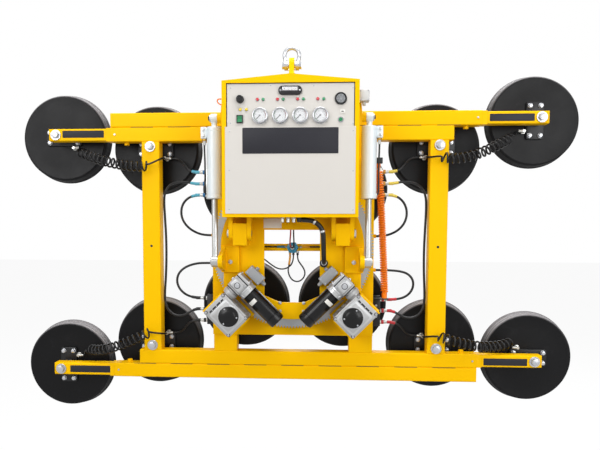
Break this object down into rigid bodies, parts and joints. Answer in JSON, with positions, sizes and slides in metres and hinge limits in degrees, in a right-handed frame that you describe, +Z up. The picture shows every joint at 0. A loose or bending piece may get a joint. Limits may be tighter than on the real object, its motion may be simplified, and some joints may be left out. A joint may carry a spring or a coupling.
{
  "type": "vacuum panel lifter",
  "caption": "Hoist-hung vacuum lifter for glass panels: control headstock, tilting and slewing tube frame with round suction pads, some on telescopic arms.",
  "frame": {"origin": "the lifting point, where the sling bears on the inside of the shackle bow", "axes": "+X along the beams to the right as seen from the control panel, +Y from the control panel towards the pads, +Z up"},
  "size_m": [2.418, 0.405, 1.5279],
  "materials": {
    "yellow_paint": "semi-gloss golden yellow paint",
    "panel_grey": "satin light warm grey",
    "bright_steel": "turned steel",
    "gauge_bezel": "bright rim with a white dial",
    "gauge_glass": "clear",
    "lamp_lens": "tinted lamp lenses",
    "black_plastic": "fine grain",
    "grey_plastic": "fine grain",
    "needle_paint": "matt black",
    "green_plastic": "smooth",
    "white_paint": "gloss off-white paint",
    "chrome_rod": "polished",
    "cast_alloy": "as cast",
    "black_paint": "semi-gloss black",
    "grey_paint": "satin mid grey",
    "brass_fitting": "plain",
    "pad_alloy": "dark coated alloy disc with a black rubber seal",
    "hose_rubber": "smooth",
    "coil_plastic": "smooth black",
    "orange_plastic": "smooth orange"
  },
  "bodies": {
    "headstock": {"head_casing": "yellow_paint", "lifting_lug": "yellow_paint", "tilt_pins": "bright_steel", "control_panel": "panel_grey", "front_cover": "panel_grey", "gauge_cases": "gauge_bezel", "gauge_lenses": "gauge_glass", "status_lamps": "lamp_lens", "sounders": "black_plastic", "hour_meter": "black_plastic", "receiver_box": "grey_plastic", "battery": "black_plastic", "vacuum_pump": "cast_alloy", "hydraulic_unit": "black_paint", "port_elbows": "brass_fitting"},
    "shackle": {"shackle_bow": "bright_steel", "shackle_pin": "bright_steel"},
    "tilt_frame": {"tilt_plate": "yellow_paint", "hinge_blocks": "yellow_paint", "rod_brackets": "yellow_paint", "drive_mounts": "yellow_paint", "gearboxes": "cast_alloy", "drive_motors": "black_paint", "limit_switches": "grey_paint", "bearing_race": "bright_steel", "union_hoses": "hose_rubber", "cable_conduit": "hose_rubber"},
    "rotor": {"ring_gear": "bright_steel", "rotor_plate": "yellow_paint", "inner_columns": "yellow_paint", "outer_columns": "yellow_paint", "upper_beam": "yellow_paint", "lower_beam": "yellow_paint", "fixed_pads": "pad_alloy", "manifolds": "cast_alloy", "rotary_union": "yellow_paint", "feed_hoses": "hose_rubber", "pad_hoses": "hose_rubber", "coil_hoses": "coil_plastic", "curled_line": "orange_plastic"},
    "left_barrel": {"left_barrel": "white_paint"},
    "right_barrel": {"right_barrel": "white_paint"},
    "left_rod": {"left_rod": "chrome_rod"},
    "right_rod": {"right_rod": "chrome_rod"},
    "left_pinion": {"left_pinion": "bright_steel"},
    "right_pinion": {"right_pinion": "bright_steel"},
    "arm_tl": {"arm_tl": "yellow_paint", "pad_tl": "pad_alloy"},
    "arm_tr": {"arm_tr": "yellow_paint", "pad_tr": "pad_alloy"},
    "arm_bl": {"arm_bl": "yellow_paint", "pad_bl": "pad_alloy"},
    "arm_br": {"arm_br": "yellow_paint", "pad_br": "pad_alloy"},
    "needle_1": {"needle_1": "needle_paint"},
    "needle_2": {"needle_2": "needle_paint"},
    "needle_3": {"needle_3": "needle_paint"},
    "needle_4": {"needle_4": "needle_paint"},
    "rocker": {"rocker_switch": "green_plastic"},
    "button": {"reset_button": "green_plastic"}
  },
  "joints": [
    {"name": "shackle_swing", "type": "hinge", "parent": "headstock", "child": "shackle", "pos_m": [0, 0, -0.06], "axis": [1, 0, 0], "range_deg": [-70, 70]},
    {"name": "tilt", "type": "hinge", "parent": "headstock", "child": "tilt_frame", "pos_m": [0, -0.01, -0.722], "axis": [-1, 0, 0], "range_deg": [0, 90], "deforming": ["cable_conduit"]},
    {"name": "slew", "type": "hinge", "parent": "tilt_frame", "child": "rotor", "pos_m": [0, 0.11, -0.782], "axis": [0, 1, 0], "continuous": true},
    {"name": "left_barrel_swing", "type": "hinge", "parent": "headstock", "child": "left_barrel", "pos_m": [-0.304, -0.04, -0.27], "axis": [-1, 0, 0], "range_deg": [-0.2, 11.33]},
    {"name": "left_rod_slide", "type": "slide", "parent": "left_barrel", "child": "left_rod", "axis": [0, 0, 1], "range_m": [-0.001, 0.13592]},
    {"name": "left_pinion_spin", "type": "hinge", "parent": "tilt_frame", "child": "left_pinion", "pos_m": [-0.24493, 0.045, -1.05127], "axis": [0, 1, 0], "continuous": true},
    {"name": "right_barrel_swing", "type": "hinge", "parent": "headstock", "child": "right_barrel", "pos_m": [0.304, -0.04, -0.27], "axis": [-1, 0, 0], "range_deg": [-0.2, 11.33]},
    {"name": "right_rod_slide", "type": "slide", "parent": "right_barrel", "child": "right_rod", "axis": [0, 0, 1], "range_m": [-0.001, 0.13592]},
    {"name": "right_pinion_spin", "type": "hinge", "parent": "tilt_frame", "child": "right_pinion", "pos_m": [0.24493, 0.045, -1.05127], "axis": [0, 1, 0], "continuous": true},
    {"name": "arm_tl_slide", "type": "slide", "parent": "rotor", "child": "arm_tl", "axis": [-1, 0, 0], "range_m": [0, 0.5], "deforming": ["coil_hoses"]},
    {"name": "arm_tr_slide", "type": "slide", "parent": "rotor", "child": "arm_tr", "axis": [1, 0, 0], "range_m": [0, 0.5], "deforming": ["coil_hoses"]},
    {"name": "arm_bl_slide", "type": "slide", "parent": "rotor", "child": "arm_bl", "axis": [-1, 0, 0], "range_m": [0, 0.5], "deforming": ["coil_hoses"]},
    {"name": "arm_br_slide", "type": "slide", "parent": "rotor", "child": "arm_br", "axis": [1, 0, 0], "range_m": [0, 0.5], "deforming": ["coil_hoses"]},
    {"name": "needle_1_turn", "type": "hinge", "parent": "headstock", "child": "needle_1", "pos_m": [-0.11402, -0.134, -0.277], "axis": [0, 1, 0], "range_deg": [0, 270]},
    {"name": "needle_2_turn", "type": "hinge", "parent": "headstock", "child": "needle_2", "pos_m": [-0.038, -0.134, -0.277], "axis": [0, 1, 0], "range_deg": [0, 270]},
    {"name": "needle_3_turn", "type": "hinge", "parent": "headstock", "child": "needle_3", "pos_m": [0.038, -0.134, -0.277], "axis": [0, 1, 0], "range_deg": [0, 270]},
    {"name": "needle_4_turn", "type": "hinge", "parent": "headstock", "child": "needle_4", "pos_m": [0.11402, -0.134, -0.277], "axis": [0, 1, 0], "range_deg": [0, 270]},
    {"name": "rocker_tip", "type": "hinge", "parent": "headstock", "child": "rocker", "pos_m": [-0.191, -0.129, -0.289], "axis": [1, 0, 0], "range_deg": [-8, 8]},
    {"name": "button_press", "type": "slide", "parent": "headstock", "child": "button", "axis": [0, 1, 0], "range_m": [0, 0.003], "stiffness_N_per_m": 600}
  ],
  "couplings": [
    {"joint": "left_barrel_swing", "follows": "tilt", "ratio": 0.12363},
    {"joint": "left_rod_slide", "follows": "tilt", "m_per_rad": 0.08589},
    {"joint": "left_pinion_spin", "follows": "slew", "ratio": -10.375},
    {"joint": "right_barrel_swing", "follows": "tilt", "ratio": 0.12363},
    {"joint": "right_rod_slide", "follows": "tilt", "m_per_rad": 0.08589},
    {"joint": "right_pinion_spin", "follows": "slew", "ratio": -10.375}
  ]
}
